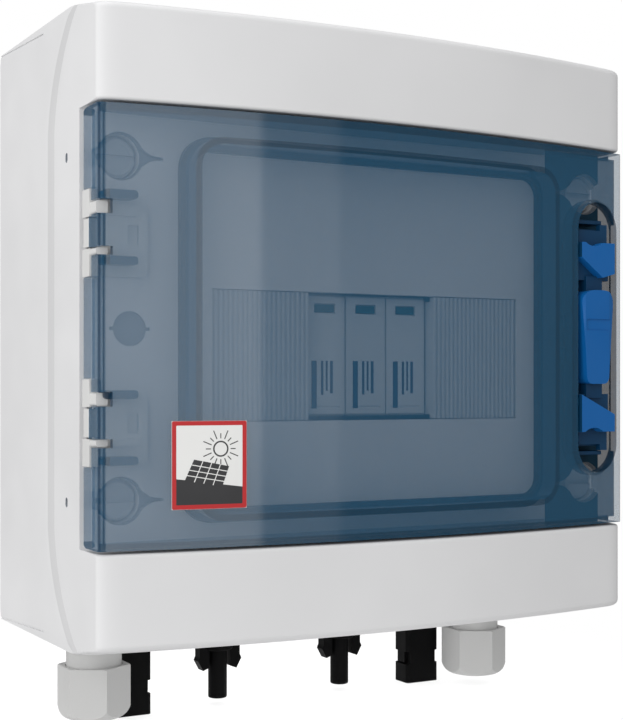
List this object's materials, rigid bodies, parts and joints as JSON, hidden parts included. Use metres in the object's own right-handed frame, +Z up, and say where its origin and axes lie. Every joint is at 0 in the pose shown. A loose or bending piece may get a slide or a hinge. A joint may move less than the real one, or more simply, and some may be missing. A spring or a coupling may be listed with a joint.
{
  "type": "dc combiner box",
  "caption": "Wall-mounted solar combiner enclosure with a hinged clear door, pinch latch, plug-in surge arresters on a rail, cable glands and PV connectors below.",
  "frame": {"origin": "centre of the flat back face, on the wall", "axes": "+Z up, +Y into the wall, +X to the right seen from the front"},
  "size_m": [0.221, 0.1213, 0.2596],
  "materials": {
    "housing": "fine satin moulded plastic, light grey",
    "smoke_clear": "clear smoke-blue polycarbonate",
    "latch_blue": "satin blue plastic",
    "carrier_blue": "dark blue plastic",
    "module_grey": "matt light grey plastic",
    "flag_teal": "teal status flag",
    "gland_grey": "satin grey polyamide",
    "connector_black": "satin black plastic",
    "seal_rubber": "soft black rubber",
    "zinc_steel": "zinc-plated steel",
    "earth_green": "green and yellow plastic",
    "wire_red": "red wire insulation",
    "wire_black": "black wire insulation",
    "label_print": "printed vinyl label with a red border"
  },
  "bodies": {
    "box": {"base_box": "housing", "front_cover": "housing", "cover_seal": "seal_rubber", "door_seal": "seal_rubber", "hinge_block_upper": "housing", "hinge_block_lower": "housing", "hinge_pin_upper": "zinc_steel", "hinge_pin_lower": "zinc_steel", "din_rail": "zinc_steel", "rail_screw_left": "zinc_steel", "rail_screw_right": "zinc_steel", "spd_base": "module_grey", "blanking_strip_left": "module_grey", "blanking_strip_right": "module_grey", "earth_terminal": "earth_green", "gland_body_left": "gland_grey", "gland_body_right": "gland_grey", "gland_seal_left": "seal_rubber", "gland_seal_right": "seal_rubber", "gland_locknut_left": "gland_grey", "gland_locknut_right": "gland_grey", "pv_socket_left": "connector_black", "pv_socket_right": "connector_black", "pv_plug_left": "connector_black", "pv_plug_right": "connector_black", "pv_socket_nut_left": "connector_black", "pv_socket_nut_right": "connector_black", "pv_plug_nut_left": "connector_black", "pv_plug_nut_right": "connector_black", "dc_wire_outer_left": "wire_red", "dc_wire_inner_left": "wire_red", "dc_wire_outer_right": "wire_black", "dc_wire_inner_right": "wire_black", "earth_wire": "earth_green", "wall_hole_cap_top_left": "seal_rubber", "wall_hole_cap_top_right": "seal_rubber", "wall_hole_cap_bottom_left": "seal_rubber", "wall_hole_cap_bottom_right": "seal_rubber"},
    "door": {"door": "smoke_clear", "door_label": "label_print", "latch_grip": "latch_blue", "latch_carrier": "carrier_blue", "latch_spring_upper": "zinc_steel", "latch_spring_lower": "zinc_steel"},
    "latch_upper": {"latch_slider_upper": "latch_blue"},
    "latch_lower": {"latch_slider_lower": "latch_blue"},
    "cartridge_1": {"spd_plug_1": "module_grey", "spd_flag_1": "flag_teal"},
    "cartridge_2": {"spd_plug_2": "module_grey", "spd_flag_2": "flag_teal"},
    "cartridge_3": {"spd_plug_3": "module_grey", "spd_flag_3": "flag_teal"},
    "screw_top_left": {"cover_screw_top_left": "housing"},
    "screw_top_right": {"cover_screw_top_right": "housing"},
    "screw_bottom_left": {"cover_screw_bottom_left": "housing"},
    "screw_bottom_right": {"cover_screw_bottom_right": "housing"},
    "nut_left": {"gland_nut_left": "gland_grey"},
    "nut_right": {"gland_nut_right": "gland_grey"}
  },
  "joints": [
    {"name": "door_hinge", "type": "hinge", "parent": "box", "child": "door", "pos_m": [-0.1086, -0.0973, 0], "axis": [0, 0, -1], "range_deg": [0, 120]},
    {"name": "latch_upper_press", "type": "slide", "parent": "door", "child": "latch_upper", "axis": [0, 0, -1], "range_m": [0, 0.003], "stiffness_N_per_m": 800, "springref_m": -0.004, "deforming": ["latch_spring_upper"]},
    {"name": "latch_lower_press", "type": "slide", "parent": "door", "child": "latch_lower", "axis": [0, 0, 1], "range_m": [0, 0.003], "stiffness_N_per_m": 800, "springref_m": -0.004, "deforming": ["latch_spring_lower"]},
    {"name": "cartridge_1_pull", "type": "slide", "parent": "box", "child": "cartridge_1", "axis": [0, -1, 0], "range_m": [0, 0.02]},
    {"name": "cartridge_2_pull", "type": "slide", "parent": "box", "child": "cartridge_2", "axis": [0, -1, 0], "range_m": [0, 0.02]},
    {"name": "cartridge_3_pull", "type": "slide", "parent": "box", "child": "cartridge_3", "axis": [0, -1, 0], "range_m": [0, 0.02]},
    {"name": "screw_top_left_turn", "type": "hinge", "parent": "box", "child": "screw_top_left", "pos_m": [-0.0992, -0.096, 0.058], "axis": [0, 1, 0], "range_deg": [-90, 0]},
    {"name": "screw_top_right_turn", "type": "hinge", "parent": "box", "child": "screw_top_right", "pos_m": [0.0992, -0.096, 0.058], "axis": [0, 1, 0], "range_deg": [-90, 0]},
    {"name": "screw_bottom_left_turn", "type": "hinge", "parent": "box", "child": "screw_bottom_left", "pos_m": [-0.0992, -0.096, -0.058], "axis": [0, 1, 0], "range_deg": [-90, 0]},
    {"name": "screw_bottom_right_turn", "type": "hinge", "parent": "box", "child": "screw_bottom_right", "pos_m": [0.0992, -0.096, -0.058], "axis": [0, 1, 0], "range_deg": [-90, 0]},
    {"name": "gland_nut_left_turn", "type": "hinge", "parent": "box", "child": "nut_left", "pos_m": [-0.087, -0.0424, -0.134], "axis": [0, 0, 1], "continuous": true},
    {"name": "gland_nut_right_turn", "type": "hinge", "parent": "box", "child": "nut_right", "pos_m": [0.087, -0.0424, -0.134], "axis": [0, 0, 1], "continuous": true}
  ]
}
